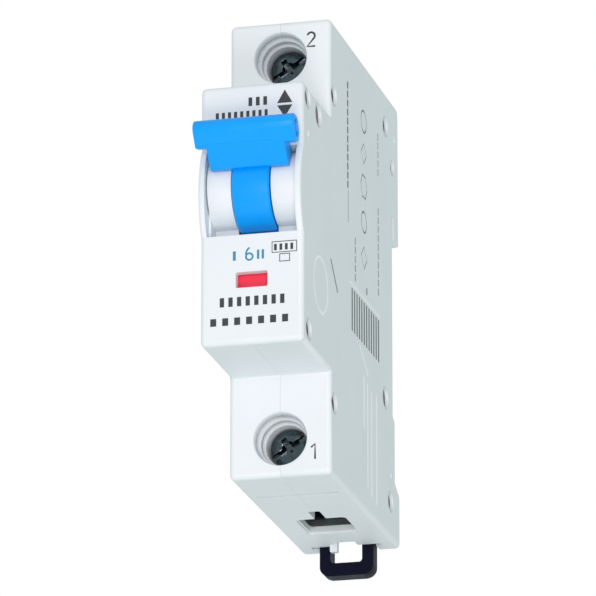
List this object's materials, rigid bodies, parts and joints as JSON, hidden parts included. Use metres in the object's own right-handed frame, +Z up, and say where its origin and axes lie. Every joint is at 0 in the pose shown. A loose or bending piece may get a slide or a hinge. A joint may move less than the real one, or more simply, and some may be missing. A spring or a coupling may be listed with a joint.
{
  "type": "miniature circuit breaker",
  "caption": "Single-module circuit breaker for a 35 mm rail: light grey shells, blue handle, screw terminals, red flag and black rail latch.",
  "frame": {"origin": "on the rail seat plane, at mid width, level with the rail's centre line", "axes": "+X to the right seen from the front, +Y out of the back towards the rail, +Z up towards terminal 2"},
  "size_m": [0.0176, 0.0747, 0.0852],
  "materials": {
    "shell_plastic": "moulded thermoset, fine spark texture, light cool grey",
    "handle_plastic": "moulded, smooth, bright blue",
    "latch_plastic": "moulded, near black",
    "flag_plastic": "moulded, red lower half shown when on, green upper half shown when off",
    "mechanism_plastic": "moulded, dark grey",
    "fibre_board": "pressed fibre board",
    "copper": "bare copper",
    "contact_silver": "silver alloy contact pad",
    "brass": "brass-faced bimetal",
    "plated_steel": "zinc plated steel",
    "spring_steel": "bright spring wire"
  },
  "bodies": {
    "housing": {"housing_left": "shell_plastic", "housing_right": "shell_plastic", "rivet_1": "plated_steel", "rivet_2": "plated_steel", "rivet_3": "plated_steel", "rivet_4": "plated_steel", "rivet_5": "plated_steel", "rivet_6": "plated_steel", "coil_bobbin": "mechanism_plastic", "arc_chute_side_left": "fibre_board", "arc_chute_side_right": "fibre_board", "fixed_contact": "copper", "trip_coil": "copper", "arc_runner_upper": "copper", "terminal_strip_upper": "copper", "terminal_strip_lower": "copper", "flexible_braid": "copper", "fixed_contact_pad": "contact_silver", "bimetal_strip": "brass", "calibration_screw": "brass", "coil_yoke": "plated_steel", "fixed_core": "plated_steel", "arc_runner_lower": "plated_steel", "toggle_pin": "plated_steel", "contact_pin": "plated_steel", "trip_pin": "plated_steel", "toggle_spring": "spring_steel", "contact_spring": "spring_steel", "trip_spring": "spring_steel", "plunger_spring": "spring_steel", "latch_spring": "spring_steel", "arc_plate_1": "plated_steel", "arc_plate_2": "plated_steel", "arc_plate_3": "plated_steel", "arc_plate_4": "plated_steel", "arc_plate_5": "plated_steel", "arc_plate_6": "plated_steel", "arc_plate_7": "plated_steel", "arc_plate_8": "plated_steel", "arc_plate_9": "plated_steel"},
    "toggle": {"toggle": "handle_plastic"},
    "drive_link": {"drive_link": "spring_steel"},
    "contact_arm": {"contact_carrier": "mechanism_plastic", "contact_arm": "copper", "moving_contact": "contact_silver"},
    "trip_lever": {"trip_lever": "mechanism_plastic"},
    "plunger": {"plunger": "plated_steel"},
    "indicator_flag": {"indicator_flag": "flag_plastic"},
    "rail_latch": {"rail_latch": "latch_plastic"},
    "terminal_screw_upper": {"terminal_screw_upper": "plated_steel"},
    "terminal_cage_upper": {"terminal_cage_upper": "plated_steel"},
    "terminal_screw_lower": {"terminal_screw_lower": "plated_steel"},
    "terminal_cage_lower": {"terminal_cage_lower": "plated_steel"}
  },
  "joints": [
    {"name": "toggle_turn", "type": "hinge", "parent": "housing", "child": "toggle", "pos_m": [0, -0.0572, 0.005], "axis": [1, 0, 0], "range_deg": [0, 70]},
    {"name": "link_turn", "type": "hinge", "parent": "toggle", "child": "drive_link", "pos_m": [0.0039, -0.0559, 0.00122], "axis": [1, 0, 0], "range_deg": [-87.3, 0]},
    {"name": "contact_turn", "type": "hinge", "parent": "housing", "child": "contact_arm", "pos_m": [0, -0.043, -0.005], "axis": [1, 0, 0], "range_deg": [-22.1, 0]},
    {"name": "plunger_slide", "type": "slide", "parent": "housing", "child": "plunger", "axis": [0, -1, 0], "range_m": [0, 0.003], "stiffness_N_per_m": 60, "springref_m": -0.001},
    {"name": "trip_turn", "type": "hinge", "parent": "housing", "child": "trip_lever", "pos_m": [0, -0.049, -0.0095], "axis": [1, 0, 0], "range_deg": [0, 8.1]},
    {"name": "indicator_slide", "type": "slide", "parent": "housing", "child": "indicator_flag", "axis": [0, 0, -1], "range_m": [0, 0.0036]},
    {"name": "latch_slide", "type": "slide", "parent": "housing", "child": "rail_latch", "axis": [0, 0, -1], "range_m": [0, 0.0045], "stiffness_N_per_m": 700, "springref_m": -0.002, "deforming": ["latch_spring"]},
    {"name": "screw_turn_upper", "type": "hinge", "parent": "housing", "child": "terminal_screw_upper", "pos_m": [0, -0.0365, 0.0335], "axis": [0, 1, 0], "range_deg": [0, 2926]},
    {"name": "cage_slide_upper", "type": "slide", "parent": "housing", "child": "terminal_cage_upper", "axis": [0, -1, 0], "range_m": [0, 0.0065]},
    {"name": "screw_turn_lower", "type": "hinge", "parent": "housing", "child": "terminal_screw_lower", "pos_m": [0, -0.0365, -0.0335], "axis": [0, 1, 0], "range_deg": [0, 2926]},
    {"name": "cage_slide_lower", "type": "slide", "parent": "housing", "child": "terminal_cage_lower", "axis": [0, -1, 0], "range_m": [0, 0.0065]}
  ],
  "couplings": [
    {"joint": "link_turn", "follows": "toggle_turn", "ratio": -1.2446},
    {"joint": "contact_turn", "follows": "toggle_turn", "ratio": -0.3143},
    {"joint": "indicator_slide", "follows": "toggle_turn", "m_per_rad": 0.002865},
    {"joint": "trip_turn", "follows": "plunger_slide", "rad_per_m": 46.5},
    {"joint": "screw_turn_upper", "follows": "cage_slide_upper", "rad_per_m": 7854.1},
    {"joint": "screw_turn_lower", "follows": "cage_slide_lower", "rad_per_m": 7854.1}
  ]
}
